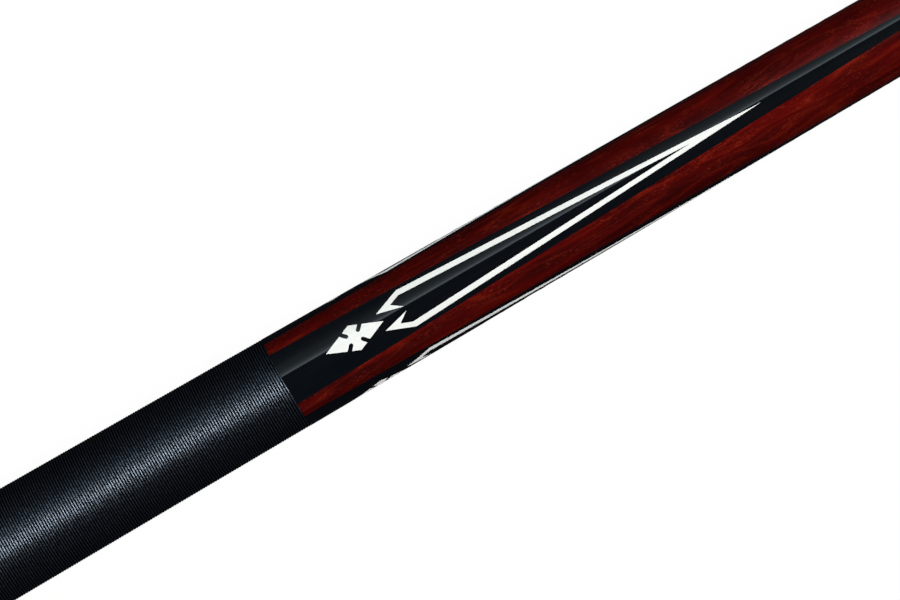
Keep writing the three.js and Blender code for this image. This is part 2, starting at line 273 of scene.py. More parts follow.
def with_ends(strip, before, after):
    """Adds the surfaces turned from a profile before a strip and a profile after it.

    With no profile before it, the one after it closes on the strip's first ring.
    """
    points, faces, first, last = strip
    rings = [add_ring(points, x, radius, len(first)) for x, radius in [*before, *after]]
    rear = [*rings[:len(before)], first]
    front = [last, *rings[len(before):]]
    if not before:
        front.append(first)
    for chain in (rear, front):
        for near, far in zip(chain, chain[1:]):
            faces.extend(bridged(near, far))
    return points, faces


# ---------------------------------------------------------------- material nodes

def put(tree, socket, value):
    """Links a socket to an input, or sets the input's value."""
    if isinstance(value, bpy.types.NodeSocket):
        tree.links.new(value, socket)
    else:
        socket.default_value = value


def node(tree, kind, inputs, **settings):
    """Adds a node, with its settings, and its inputs by name or by number."""
    made = tree.nodes.new(kind)
    for key, value in settings.items():
        setattr(made, key, value)
    for key, value in inputs.items():
        put(tree, made.inputs[key], value)
    return made


def calc(tree, operation, *values):
    """The result of a Math node."""
    made = node(tree, "ShaderNodeMath", dict(enumerate(values)), operation=operation)
    return made.outputs[0]


def ramp(tree, factor, stops):
    """A colour or grey that runs through stops of (position, colour)."""
    made = node(tree, "ShaderNodeValToRGB", {"Fac": factor})
    elements = made.color_ramp.elements
    while len(elements) < len(stops):
        elements.new(1.0)
    for element, (position, colour) in zip(elements, stops):
        element.position = position
        element.color = (*colour, 1.0) if isinstance(colour, tuple) else (colour,) * 3 + (1.0,)
    return made.outputs["Color"]


def blend(tree, factor, first, second, mode="MIX"):
    """Mixes two colours."""
    made = node(tree, "ShaderNodeMix", {}, data_type="RGBA", blend_type=mode)
    put(tree, made.inputs[0], factor)
    for socket, value in ((made.inputs[6], first), (made.inputs[7], second)):
        put(tree, socket, (*value, 1.0) if isinstance(value, tuple) else value)
    return made.outputs[2]


def place(tree, x=1.0, y=1.0, z=1.0):
    """Object coordinates in millimetres, divided by a size along each axis."""
    coordinates = node(tree, "ShaderNodeTexCoord", {}).outputs["Object"]
    made = node(tree, "ShaderNodeVectorMath", {
        0: coordinates,
        1: (1 / (MM * x), 1 / (MM * y), 1 / (MM * z)),
    }, operation="MULTIPLY")
    return made.outputs[0]


def noise(tree, vector, detail=2.0, roughness=0.5, distortion=0.0):
    """Noise whose features are about as large as the size its coordinates were divided by."""
    return node(tree, "ShaderNodeTexNoise", {
        "Vector": vector,
        "Scale": 1.0,
        "Detail": detail,
        "Roughness": roughness,
        "Distortion": distortion,
    }).outputs["Fac"]


def bump(tree, height, distance):
    """A normal bent by a height that runs from 0 to 1, distance in millimetres."""
    return node(tree, "ShaderNodeBump", {
        "Height": height,
        "Distance": distance * MM,
        "Strength": 1.0,
    }).outputs["Normal"]


def xyz(tree):
    """The three object coordinates, in millimetres."""
    return node(tree, "ShaderNodeSeparateXYZ", {0: place(tree)}).outputs


def round_vector(tree, along, turn_size):
    """Coordinates that wrap round the cue, for marks drawn out along its circumference.

    along is a size in millimetres, and turn_size is one in radians round the axis.
    """
    x, y, z = xyz(tree)
    across = calc(tree, "SQRT", calc(tree, "ADD", calc(tree, "MULTIPLY", y, y),
                                     calc(tree, "MULTIPLY", z, z)))
    made = node(tree, "ShaderNodeCombineXYZ", {
        0: calc(tree, "DIVIDE", x, along),
        1: calc(tree, "DIVIDE", y, calc(tree, "MULTIPLY", across, turn_size)),
        2: calc(tree, "DIVIDE", z, calc(tree, "MULTIPLY", across, turn_size)),
    })
    return made.outputs[0]


def finish_of(name, build):
    """A material whose Principled inputs come from build(tree)."""
    material = bpy.data.materials.new(name)
    material.use_nodes = True
    tree = material.node_tree
    shader = tree.nodes["Principled BSDF"]
    for key, value in build(tree).items():
        put(tree, shader.inputs[key], (*value, 1.0) if isinstance(value, tuple) else value)
    return material


# ---------------------------------------------------------------- materials

def burgundy_wood(tree):
    """Dark red stained wood, its growth rings in long arches with orange pores between."""
    cloud = noise(tree, place(tree, 30, 5.0, 5.0), detail=3, roughness=0.55, distortion=0.6)
    growth = noise(tree, place(tree, 46, 6.0, 6.0), detail=1.5, roughness=0.5, distortion=0.5)
    patches = noise(tree, place(tree, 11, 2.6, 2.6), detail=2)
    streak = noise(tree, place(tree, 7, 0.45, 0.45), detail=3, roughness=0.65)
    pores = noise(tree, place(tree, 1.2, 0.19, 0.19), detail=2, roughness=0.6)
    ground = ramp(tree, cloud, [
        (0.32, (0.042, 0.0006, 0.0004)),
        (0.50, (0.095, 0.0011, 0.0005)),
        (0.68, (0.150, 0.0026, 0.0008)),
    ])
    arches = calc(tree, "PINGPONG", calc(tree, "MULTIPLY", growth, 11.0), 1.0)
    ring = ramp(tree, arches, [(0.00, 1.0), (0.16, 0.25), (0.40, 0.0)])
    ringed = blend(tree, calc(tree, "MULTIPLY", ring, patches), ground, (0.260, 0.0140, 0.0030))
    shaded = ramp(tree, arches, [(0.50, 0.0), (1.00, 0.35)])
    banded = blend(tree, shaded, ringed, (0.034, 0.0005, 0.0004))
    lit = ramp(tree, streak, [(0.52, 0.0), (0.72, 0.4)])
    streaked = blend(tree, lit, banded, (0.190, 0.0080, 0.0020))
    glint = calc(tree, "MULTIPLY", ramp(tree, pores, [(0.58, 0.0), (0.70, 1.0)]),
                 ramp(tree, patches, [(0.40, 0.0), (0.62, 0.9)]))
    speckled = blend(tree, glint, streaked, (0.360, 0.0420, 0.0180))
    dark = ramp(tree, pores, [(0.32, 0.30), (0.43, 0.0)])
    colour = blend(tree, dark, speckled, (0.018, 0.0010, 0.0008))
    return {
        "Base Color": colour,
        "Metallic": 0.6,
        "Roughness": 0.62,
        "Specular IOR Level": 0.0,
        "Coat Weight": 1.0,
        "Coat Roughness": 0.07,
    }


def ebony_point(tree):
    """Near-black stained wood under the same lacquer."""
    grain = noise(tree, place(tree, 14, 0.5, 0.5), detail=4, roughness=0.6)
    return {
        "Base Color": ramp(tree, grain, [(0.35, (0.0012, 0.0020, 0.0032)),
                                         (0.75, (0.0030, 0.0040, 0.0056))]),
        "Roughness": 0.9,
        "Specular IOR Level": 0.0,
        "Coat Weight": 1.0,
        "Coat Roughness": 0.07,
    }


def white_inlay(tree):
    """Ivory-white plastic with a faint cloud in it, under the lacquer."""
    cloud = noise(tree, place(tree, 4, 2, 2), detail=3)
    return {
        "Base Color": ramp(tree, cloud, [(0.3, (0.84, 0.85, 0.82)), (0.7, (0.89, 0.90, 0.87))]),
        "Roughness": 0.4,
        "Sheen Weight": 1.0,
        "Sheen Roughness": 0.6,
        "Coat Weight": 1.0,
        "Coat Roughness": 0.07,
    }


def thread_crown(tree):
    """How near a place is to the top of a turn of thread: 0 in the groove, 1 on the crown."""
    x, y, z = xyz(tree)
    along = calc(tree, "DIVIDE", calc(tree, "SUBTRACT", x, span("wrap")[0]), THREAD_PITCH)
    turn = calc(tree, "DIVIDE", calc(tree, "ARCTAN2", y, z), math.tau)
    half_turns = calc(tree, "MULTIPLY", calc(tree, "SUBTRACT", along, turn), 2.0)
    return calc(tree, "PINGPONG", half_turns, 1.0)


def wound_thread(tree):
    """Black waxed thread; each turn is a ridge in the mesh, its fibres are in the shader, and its
    grooves get painted shade.
    """
    fibres = noise(tree, round_vector(tree, 0.16, 0.035), detail=3, roughness=0.7)
    lumps = noise(tree, round_vector(tree, 0.5, 0.035), detail=3, roughness=0.6)
    wear = noise(tree, place(tree, 14, 6, 6), detail=3)
    crown = thread_crown(tree)
    colour = ramp(tree, fibres, [(0.35, (0.0020, 0.0025, 0.0040)),
                                 (0.70, (0.0090, 0.0110, 0.0160))])
    # painted shade: the colour and the specular level fall towards the groove between turns
    painted_groove_shade = ramp(tree, crown, [(0.30, 0.03), (0.75, 1.0)])
    gloss = ramp(tree, lumps, [(0.36, 0.15), (0.64, 1.0)])
    rough = calc(tree, "ADD", calc(tree, "MULTIPLY", lumps, 0.25),
                 calc(tree, "MULTIPLY_ADD", wear, 0.10, 0.16))
    return {
        "Base Color": blend(tree, 1.0, colour, painted_groove_shade, "MULTIPLY"),
        "Roughness": rough,
        "Specular IOR Level": calc(tree, "MULTIPLY", gloss, painted_groove_shade),
        "IOR": 1.9,
        "Specular Tint": (0.68, 0.82, 1.0),
        "Normal": bump(tree, fibres, 0.03),
    }


def clear_maple(tree):
    """Pale straight-grained maple with short dark flecks."""
    grain = noise(tree, place(tree, 60, 1.3, 1.3), detail=4, roughness=0.6, distortion=0.3)
    flecks = noise(tree, place(tree, 3.5, 0.22, 0.22), detail=2)
    ground = ramp(tree, grain, [(0.30, (0.56, 0.37, 0.19)), (0.70, (0.70, 0.51, 0.30))])
    fleck = ramp(tree, flecks, [(0.62, 0.0), (0.74, 1.0)])
    return {
        "Base Color": blend(tree, calc(tree, "MULTIPLY", fleck, 0.45), ground, (0.38, 0.21, 0.09)),
        "Roughness": 0.34,
        "Coat Weight": 0.4,
        "Coat Roughness": 0.22,
        "Normal": bump(tree, flecks, 0.012),
    }


def bare_maple(tree):
    """Unsealed turned maple inside the handle."""
    grain = noise(tree, place(tree, 50, 1.6, 1.6), detail=4)
    return {
        "Base Color": ramp(tree, grain, [(0.3, (0.42, 0.28, 0.15)), (0.7, (0.56, 0.41, 0.25))]),
        "Roughness": 0.7,
        "Normal": bump(tree, grain, 0.04),
    }


def phenolic(tree):
    """Polished black resin of the collars, the rings and the butt cap."""
    swirl = noise(tree, round_vector(tree, 0.12, 0.9), detail=2)
    dust = noise(tree, place(tree, 1.4, 1.4, 1.4), detail=3)
    return {
        "Base Color": ramp(tree, dust, [(0.3, (0.0040, 0.0040, 0.0044)),
                                        (0.7, (0.0056, 0.0056, 0.0061))]),
        "Roughness": calc(tree, "MULTIPLY_ADD", dust, 0.05, 0.10),
        "Normal": bump(tree, swirl, 0.004),
    }


def metal_of(colour, darker, roughness):
    """A turned metal: fine rings round the axis, and a slight cloud in the colour."""
    def build(tree):
        rings = noise(tree, round_vector(tree, 0.05, 2.5), detail=2)
        cloud = noise(tree, place(tree, 3, 3, 3), detail=2)
        return {
            "Base Color": ramp(tree, cloud, [(0.3, darker), (0.7, colour)]),
            "Metallic": 1.0,
            "Roughness": calc(tree, "MULTIPLY_ADD", rings, 0.12, roughness),
            "Normal": bump(tree, rings, 0.006),
        }
    return build


def ferrule_plastic(tree):
    """Warm white plastic, polished on the lathe."""
    cloud = noise(tree, place(tree, 6, 2, 2), detail=3)
    swirl = noise(tree, round_vector(tree, 0.15, 1.2), detail=2)
    return {
        "Base Color": ramp(tree, cloud, [(0.3, (0.78, 0.74, 0.64)), (0.7, (0.88, 0.85, 0.77))]),
        "Roughness": 0.3,
        "Normal": bump(tree, swirl, 0.004),
    }


def chalked_leather(tree):
    """Pressed leather in layers, its crown dusted with blue chalk."""
    x = xyz(tree)[0]
    layers = noise(tree, round_vector(tree, 0.55, 2.0), detail=2)
    nap = noise(tree, place(tree, 0.35, 0.35, 0.35), detail=4, roughness=0.7)
    leather = ramp(tree, layers, [(0.35, (0.09, 0.055, 0.03)), (0.65, (0.17, 0.115, 0.07))])
    crown = calc(tree, "DIVIDE", calc(tree, "SUBTRACT", x, CHALK_START), CHALK_FADE)
    dusting = calc(tree, "ADD", crown, calc(tree, "MULTIPLY_ADD", nap, 1.2, -0.7))
    cover = ramp(tree, dusting, [(0.15, 0.0), (0.75, 1.0)])
    chalk = ramp(tree, nap, [(0.3, (0.035, 0.11, 0.22)), (0.7, (0.075, 0.20, 0.36))])
    return {
        "Base Color": blend(tree, cover, leather, chalk),
        "Roughness": 0.9,
        "Sheen Weight": 0.15,
        "Normal": bump(tree, nap, 0.08),
    }


def red_fibre(tree):
    """Dark red pressed fibre, speckled."""
    speckle = noise(tree, place(tree, 0.3, 0.3, 0.3), detail=3)
    return {
        "Base Color": ramp(tree, speckle, [(0.3, (0.14, 0.012, 0.012)),
                                           (0.7, (0.24, 0.03, 0.025))]),
        "Roughness": 0.65,
    }


def moulded_rubber(tree):
    """Black rubber with a fine grit and a faint bloom."""
    grit = noise(tree, place(tree, 0.45, 0.45, 0.45), detail=4, roughness=0.65)
    bloom = noise(tree, place(tree, 5, 5, 5), detail=3)
    return {
        "Base Color": ramp(tree, bloom, [(0.3, (0.010, 0.010, 0.011)),
                                         (0.7, (0.024, 0.024, 0.025))]),
        "Roughness": calc(tree, "MULTIPLY_ADD", bloom, 0.25, 0.55),
        "Normal": bump(tree, grit, 0.04),
    }


BURGUNDY = finish_of("burgundy_wood", burgundy_wood)
EBONY = finish_of("ebony_point", ebony_point)
WHITE = finish_of("white_inlay", white_inlay)
THREAD = finish_of("wound_thread", wound_thread)
MAPLE = finish_of("clear_maple", clear_maple)
BARE_MAPLE = finish_of("bare_maple", bare_maple)
BLACK = finish_of("phenolic", phenolic)
BRIGHT = finish_of("polished_ring", metal_of((0.83, 0.83, 0.84), (0.74, 0.74, 0.76), 0.12))
STEEL = finish_of("machined_steel", metal_of((0.60, 0.61, 0.62), (0.48, 0.49, 0.50), 0.24))
BRASS = finish_of("machined_brass", metal_of((0.76, 0.56, 0.24), (0.62, 0.43, 0.16), 0.24))
IVORY = finish_of("ferrule_plastic", ferrule_plastic)
LEATHER = finish_of("chalked_leather", chalked_leather)
FIBRE = finish_of("red_fibre", red_fibre)
RUBBER = finish_of("moulded_rubber", moulded_rubber)


# ---------------------------------------------------------------- forearm, points and inlays

FOREARM_REAR = span("forearm")[0]
FOREARM_FRONT = span("joint_ring_1")[0] - FACE_GAP
SKIN_LENGTH = FOREARM_FRONT - FOREARM_REAR
HALF_SECTOR = math.pi / POINT_COUNT
GRID_ANGLE = math.tau / SIDES
GRID_LENGTH = 6.0
GRID_CLEARANCE = 0.8                        # between grid corners and an outline
OUTLINE_STEP = 3.0                          # longest edge of an inlay's outline
POINT_ROWS = 80                             # steps along each edge of a point
FLAT_RADIUS = 12.0                          # radius used to lay the surface out flat
GROOVE_LEAST = 4.3                          # keeps the groove clear of the bolt bore
POCKET_SHARE = 0.6                          # most of a point's depth that an inlay takes
NOTCH_STEPS = 6                             # edges round a notch's end
TINY_ANGLE = 1e-5
SAME_CORNER = 1e-7
SAME_PLANE = 1e-4
GROOVE_SLOPE = (radius_at(FOREARM_REAR + GROOVE_LENGTH) - GROOVE_FLOOR) / GROOVE_LENGTH


def skin(u):
    """Outside radius of the forearm at u."""
    return radius_at(FOREARM_REAR + u)


def point_half_angle(u):
    """Half the angle that a point covers at u, where its groove meets the surface."""
    height = GROOVE_FLOOR + GROOVE_SLOPE * u
    reach = height / (skin(u) * math.sqrt(2))
    return max(math.acos(min(reach, 1.0)) - math.pi / 4, 0.0)


def groove(u, angle):
    """Radius of the groove's wall under a place on the surface."""
    height = GROOVE_FLOOR + GROOVE_SLOPE * u
    wall = height / (math.cos(angle) - abs(math.sin(angle)))
    return min(max(wall, GROOVE_LEAST), skin(u))


def mirrored(half):
    """A closed outline from one side of it, whose ends lie on the centre line."""
    return [*half, *[(u, -arc) for u, arc in reversed(half[1:-1])]]


def diamond_outline():
    """The diamond with its four round-ended notches, as (u, arc) corners."""
    rear = [(DIAMOND_MIDDLE - x, y) for x, y in notch(DIAMOND_MIDDLE - DIAMOND_START)]
    front = [(DIAMOND_MIDDLE + x, y) for x, y in notch(DIAMOND_END - DIAMOND_MIDDLE)]
    return mirrored([(DIAMOND_START, 0.0), *reversed(rear), (DIAMOND_MIDDLE, DIAMOND_HALF_WIDTH),
                     *front, (DIAMOND_END, 0.0)])


def notch(length):
    """One notch's corners from the diamond's middle, in a quarter of the given length."""
    floor = Vector(NOTCH_FLOOR)
    heading = (Vector(NOTCH_MOUTH) - floor).normalized()
    across = Vector((-heading.y, heading.x)) * NOTCH_RADIUS
    drop = DIAMOND_HALF_WIDTH / length

    def on_edge(start):
        height = DIAMOND_HALF_WIDTH - drop * start.x - start.y
        return start + heading * height / (heading.y + drop * heading.x)

    first = math.atan2(across.y, across.x)
    turns = [first + math.pi * k / NOTCH_STEPS for k in range(NOTCH_STEPS + 1)]
    rounded = [floor + Vector((math.cos(turn), math.sin(turn))) * NOTCH_RADIUS for turn in turns]
    return [on_edge(floor + across), *rounded, on_edge(floor - across)]


def inside(outline, place_flat):
    """Whether a flat place lies inside a closed outline."""
    x, y = place_flat
    odd = False
    for (x0, y0), (x1, y1) in zip(outline, outline[1:] + outline[:1]):
        if (y0 > y) != (y1 > y) and x < x0 + (y - y0) / (y1 - y0) * (x1 - x0):
            odd = not odd
    return odd


def divided(outline):
    """A closed outline of (u, arc) with its long edges cut up, so that they follow the skin."""
    cut = []
    for (u0, a0), (u1, a1) in zip(outline, outline[1:] + outline[:1]):
        parts = max(1, math.ceil(math.dist((u0, a0), (u1, a1)) / OUTLINE_STEP))
        cut += [(u0 + (u1 - u0) * k / parts, a0 + (a1 - a0) * k / parts) for k in range(parts)]
    return cut


def flattened(outline):
    """An outline of (u, arc) as it is laid out flat."""
    return [(u, arc / skin(u) * FLAT_RADIUS) for u, arc in outline]


def point_outline():
    """The point's two long edges in one open line, from the wrap round its tip."""
    rows = np.linspace(0, GROOVE_LENGTH, POINT_ROWS + 1)
    left = [(u, point_half_angle(u) * FLAT_RADIUS) for u in rows[:-1]]
    return [*left, (GROOVE_LENGTH, 0.0), *[(u, -y) for u, y in reversed(left)]]


def sector_triangles():
    """Triangulates one quarter of the forearm's skin, laid out flat.

    Returns its corners as (u, angle), and its triangles sorted into wood, point, spear
    and diamond.
    """
    spear = flattened(divided(mirrored(SPEAR_OUTLINE)))
    diamond = flattened(divided(diamond_outline()))
    point = point_outline()
    edge = HALF_SECTOR * FLAT_RADIUS
    columns = np.linspace(-edge, edge, round(2 * HALF_SECTOR / GRID_ANGLE) + 1)
    rows = np.linspace(0, SKIN_LENGTH, round(SKIN_LENGTH / GRID_LENGTH) + 1)

    corners = []
    edges = []

    def chain(line, closed):
        first = len(corners)
        corners.extend(line)
        ids = list(range(first, len(corners)))
        edges.extend(zip(ids, ids[1:]))
        if closed:
            edges.append((ids[-1], ids[0]))

    chain(spear, True)
    chain(diamond, True)
    chain(point, False)
    marks = np.array(corners)
    first_middle = SPEAR_OUTLINE[0][0] + GRID_CLEARANCE
    for u in np.arange(first_middle, GROOVE_LENGTH, GROOVE_LENGTH / POINT_ROWS / 2):
        corners.append((float(u), 0.0))
    for u in rows:
        for y in columns:
            at_side = math.isclose(abs(y), edge)
            near = np.hypot(marks[:, 0] - u, marks[:, 1] - y).min() < GRID_CLEARANCE
            if at_side or not near:
                corners.append((float(u), float(y)))
    points, _, triangles, *_ = delaunay_2d_cdt(
        [Vector(c) for c in corners], edges, [], 0, SAME_CORNER)
    places = [(p.x, p.y / FLAT_RADIUS) for p in points]
    regions = {"wood": [], "point": [], "spear": [], "diamond": []}
    for triangle in triangles:
        u = sum(points[c].x for c in triangle) / 3
        y = sum(points[c].y for c in triangle) / 3
        if inside(spear, (u, y)):
            region = "spear"
        elif inside(diamond, (u, y)):
            region = "diamond"
        elif abs(y) < point_half_angle(u) * FLAT_RADIUS:
            region = "point"
        else:
            region = "wood"
        regions[region].append(upright(triangle, points))
    return places, regions


def upright(triangle, points):
    """A flat triangle's corners in the order that faces outwards on the cue."""
    a, b, c = (points[k] for k in triangle)
    area = (b - a).cross(c - a)
    return tuple(triangle) if area > 0 else tuple(reversed(triangle))


def rim_of(triangles):
    """Edges that only one of the triangles has, each in that triangle's direction."""
    once = {}
    for triangle in triangles:
        for a, b in zip(triangle, triangle[1:] + triangle[:1]):
            if (b, a) in once:
                del once[(b, a)]
            else:
                once[(a, b)] = True
    return list(once)


class Shell:
    """Collects points and faces, and the normals of the faces that follow the skin."""

    def __init__(self):
        self.points = []
        self.found = {}
        self.faces = []
        self.on_skin = []

    def corner(self, x, radius, angle):
        """The number of the point there, which is added if it's new."""
        key = (round(x, 5), round(radius, 5), round(math.sin(angle), 6), round(math.cos(angle), 6))
        if key not in self.found:
            self.found[key] = len(self.points)
            self.points.append(around(x, radius, angle))
        return self.found[key]

    def face(self, corners, on_skin=False):
        """Adds a face, unless it has shrunk to a line."""
        kept = without_repeats(list(corners))
        if len(set(kept)) == len(kept) > 2:
            self.faces.append(kept)
            self.on_skin.append(on_skin)

    def normals(self):
        """One normal for each corner of each face: the cone's own on the skin, else flat."""
        points = np.array(self.points)
        made = []
        for face, on_skin in zip(self.faces, self.on_skin):
            if on_skin:
                made += [skin_normal(points[c]) for c in face]
            else:
                a, b, c = (points[k] for k in face[:3])
                flat = Vector(np.cross(b - a, c - a))
                made += [flat.normalized()] * len(face)
        return made


def skin_normal(point):
    """The cone's normal at a point of the skin."""
    step = 1.0
    fall = (radius_at(point[0] - step) - radius_at(point[0] + step)) / (2 * step)
    radial = Vector((0.0, point[1], point[2])).normalized()
    return (radial + Vector((fall, 0.0, 0.0))).normalized()


def make_forearm():
    """The forearm, and the points and inlays let into it, all flush under one lacquer."""
    places, regions = sector_triangles()
    inlaid = regions["spear"] + regions["diamond"]
    covered = regions["point"] + inlaid
    forearm = Shell()
    for k in range(POINT_COUNT):
        clock = math.radians(POINT_CLOCK) - k * math.tau / POINT_COUNT

        def skin_corner(shell, c):
            u, angle = places[c]
            return shell.corner(FOREARM_REAR + u, skin(u), clock + angle)

        def groove_corner(shell, c):
            u, angle = places[c]
            on_edge = abs(angle) >= point_half_angle(u) - TINY_ANGLE
            radius = skin(u) if on_edge else groove(u, angle)
            return shell.corner(FOREARM_REAR + u, radius, clock + angle)

        def pocket_corner(shell, c):
            u, angle = places[c]
            depth = min(INLAY_DEPTH, POCKET_SHARE * (skin(u) - groove(u, angle)))
            return shell.corner(FOREARM_REAR + u, skin(u) - depth, clock + angle)

        for triangle in regions["wood"]:
            forearm.face([skin_corner(forearm, c) for c in triangle], True)
        for triangle in covered:
            forearm.face([groove_corner(forearm, c) for c in triangle])

        def has_depth(triangle):
            return any(abs(places[c][1]) < point_half_angle(places[c][0]) - TINY_ANGLE
                       for c in triangle)

        point = Shell()
        for triangle in filter(has_depth, regions["point"]):
            point.face([skin_corner(point, c) for c in triangle], True)
        for triangle in inlaid:
            point.face([pocket_corner(point, c) for c in triangle])
        for a, b in rim_of(inlaid):
            point.face([skin_corner(point, a), skin_corner(point, b),
                        pocket_corner(point, b), pocket_corner(point, a)][::-1])
        for triangle in filter(has_depth, covered):
            point.face([groove_corner(point, c) for c in reversed(triangle)])
        for a, b in rim_of(covered):
            point.face([skin_corner(point, b), skin_corner(point, a),
                        groove_corner(point, a), groove_corner(point, b)])
        add_piece(f"ebony_point_{k + 1}", point.points, point.faces, EBONY,
                  "butt", [f"point_{k + 1}"], point.normals())

        for shape in ("spear", "diamond"):
            inlay = Shell()
            for triangle in regions[shape]:
                inlay.face([skin_corner(inlay, c) for c in triangle], True)
                inlay.face([pocket_corner(inlay, c) for c in reversed(triangle)])
            for a, b in rim_of(regions[shape]):
                inlay.face([skin_corner(inlay, b), skin_corner(inlay, a),
                            pocket_corner(inlay, a), pocket_corner(inlay, b)])
            add_piece(f"white_{shape}_{k + 1}", inlay.points, inlay.faces, WHITE,
                      "butt", [f"{shape}_inlay_{k + 1}"], inlay.normals())

    close_forearm(forearm)
    add_piece("burgundy_forearm", forearm.points, forearm.faces, BURGUNDY,
              "butt", ["forearm"], forearm.normals())


def ring_at(shell, x):
    """Corners of a shell at x, in order round the cue."""
    ring = [k for k, p in enumerate(shell.points) if abs(p[0] - x) < SAME_PLANE]
    return sorted(ring, key=lambda k: math.atan2(shell.points[k][1], shell.points[k][2]))


def close_forearm(shell):
    """Bores the rear face for the bolt, and makes the tenon and the pin's bore in front."""
    bolt_end = FOREARM_REAR + BOLT_BORE_DEPTH
    pin_end = JOINT_X - PIN_BORE_DEPTH
    tenon_front = span("forearm")[1]
    front = [(FOREARM_FRONT, TENON_RADIUS), (tenon_front, TENON_RADIUS),
             (tenon_front, STUD_BORE), (pin_end, STUD_BORE), (pin_end, 0.0)]
    rear = [(FOREARM_REAR, STUD_BORE), (bolt_end, STUD_BORE), (bolt_end, 0.0)]
    for profile, start, forwards in ((front, FOREARM_FRONT, True), (rear, FOREARM_REAR, False)):
        near = ring_at(shell, start)
        angles = [math.atan2(shell.points[k][1], shell.points[k][2]) for k in near]
        for x, radius in profile:
            far = [shell.corner(x, radius, angle if radius else 0.0) for angle in angles]
            for face in bridged(near, far):
                shell.face(face if forwards else face[::-1])
            near = far


# ---------------------------------------------------------------- wrap and screws

def make_wrap():
    """The wound thread, as one helical ridge on a thin tube."""
    start, end = span("wrap")

    def surface(x, height, turns):
        return radius_at(x) - THREAD_RIDGE * (1 - height)

    strip = wound_strip(start, end, THREAD_PITCH, THREAD_SECTION, surface, THREAD_SIDES)
    inner = outside(start, end, WRAP_THICKNESS)
    points, faces = with_ends(strip, [], inner[::-1])
    add_piece("thread_wrap", points, faces, THREAD, "butt", ["wrap"])


def screw_strip(start, turns):
    """A screw's thread from start. Its ridge grows out of the root and dies back into it."""
    def surface(x, height, turn):
        grown = min(1.0, turn / SCREW_RUN_IN, (turns - turn) / SCREW_RUN_IN)
        return ROOT_RADIUS + (CREST_RADIUS - ROOT_RADIUS) * height * max(grown, 0.0)

    return wound_strip(start, start + turns * PITCH, PITCH, SCREW_SECTION, surface, SCREW_SIDES)


def make_joint_pin():
    """The joint screw: a plain shank, the thread, and a pilot with eased corners."""
    rear, front = span("joint_pin")
    start = JOINT_X + PIN_RUNOUT
    end = start + PIN_TURNS * PITCH
    pilot = 2.9
    before = [(rear, 0.0), (rear, 3.2), (rear + 0.8, CREST_RADIUS), (start - 0.4, CREST_RADIUS)]
    after = [(end + 0.3, pilot), (front - 0.8, pilot), (front - 0.25, 2.6), (front, 2.1),
             (front, 0.0)]
    points, faces = with_ends(screw_strip(start, PIN_TURNS), before, after)
    add_piece("joint_screw", points, faces, STEEL, "butt", ["joint_pin"])


def make_bumper_stud():
    """The bumper's screw, with the flange that is moulded into the rubber."""
    rear, front = span("bumper_stud")
    flange_front = rear + STUD_FLANGE_LENGTH
    start = span("bumper")[1] + STUD_RUNOUT
    before = [(rear, 0.0), (rear, STUD_FLANGE_RADIUS), (flange_front, STUD_FLANGE_RADIUS),
              (flange_front, CREST_RADIUS), (start - 0.4, CREST_RADIUS)]
    after = [(front - 0.4, 2.8), (front, 2.3), (front, 0.0)]
    points, faces = with_ends(screw_strip(start, STUD_TURNS), before, after)
    add_piece("bumper_screw", points, faces, STEEL, "bumper_thread", ["bumper_stud"])


# ---------------------------------------------------------------- turned pieces

def make_tube(name, replaced, bore_radius, material, body, first=0.0, last=0.0):
    """A flush collar, ring or sleeve bored to sit on a tenon, its outer corners eased."""
    start, end = span(replaced)
    outer = bevelled(outside(start, end), first, last)
    bore = [(end, bore_radius), (start, bore_radius)]
    turned(name, [*outer, *bore], material, body, [replaced], loop=True)


def make_rings():
    """Four sets of a bright, a black and a bright ring."""
    sets = [
        ("shaft_ring", "shaft", TENON_RADIUS),
        ("joint_ring", "butt", TENON_RADIUS),
        ("sleeve_front_ring", "butt", SLEEVE_TENON_RADIUS),
        ("sleeve_rear_ring", "butt", SLEEVE_TENON_RADIUS),
    ]
    for name, body, tenon in sets:
        for k in (1, 2, 3):
            material, slot = (BLACK, "black_plastic") if k == 2 else (BRIGHT, "bright_ring")
            make_tube(f"turned_{name}_{k}", f"{name}_{k}", tenon + FIT_GAP, material, body)


def make_collars():
    """The two collars of the joint, their meeting edges eased, and the butt sleeve."""
    bore = TENON_RADIUS + FIT_GAP
    ease = 0.2
    make_tube("black_joint_collar", "joint_collar", bore, BLACK, "butt",
              last=ease)
    make_tube("black_shaft_collar", "shaft_collar", bore, BLACK, "shaft",
              first=ease)
    make_tube("burgundy_sleeve", "butt_sleeve", SLEEVE_TENON_RADIUS + FIT_GAP, BURGUNDY, "butt")


def make_shaft():
    """The maple shaft, with a tenon at each end and the bores for the insert and the pin."""
    rear = span("shaft_collar")[0]
    front = span("ferrule")[0] - FACE_GAP
    shoulder = span("shaft_ring_3")[1] + FACE_GAP
    tenon_front = span("shaft")[1]
    insert_front = span("shaft_insert")[1] + FACE_GAP
    insert_bore = INSERT_RADIUS + FIT_GAP
    drill_end = insert_front + 5
    outer = [(rear, TENON_RADIUS), (shoulder, TENON_RADIUS), *outside(shoulder, front),
             (front, FERRULE_TENON_RADIUS), (tenon_front, FERRULE_TENON_RADIUS),
             (tenon_front, 0.0)]
    bore = [(drill_end, 0.0), (drill_end, STUD_BORE), (insert_front, STUD_BORE),
            (insert_front, insert_bore), (rear, insert_bore)]
    turned("maple_shaft", [*bore, *outer], MAPLE, "shaft", ["shaft"])


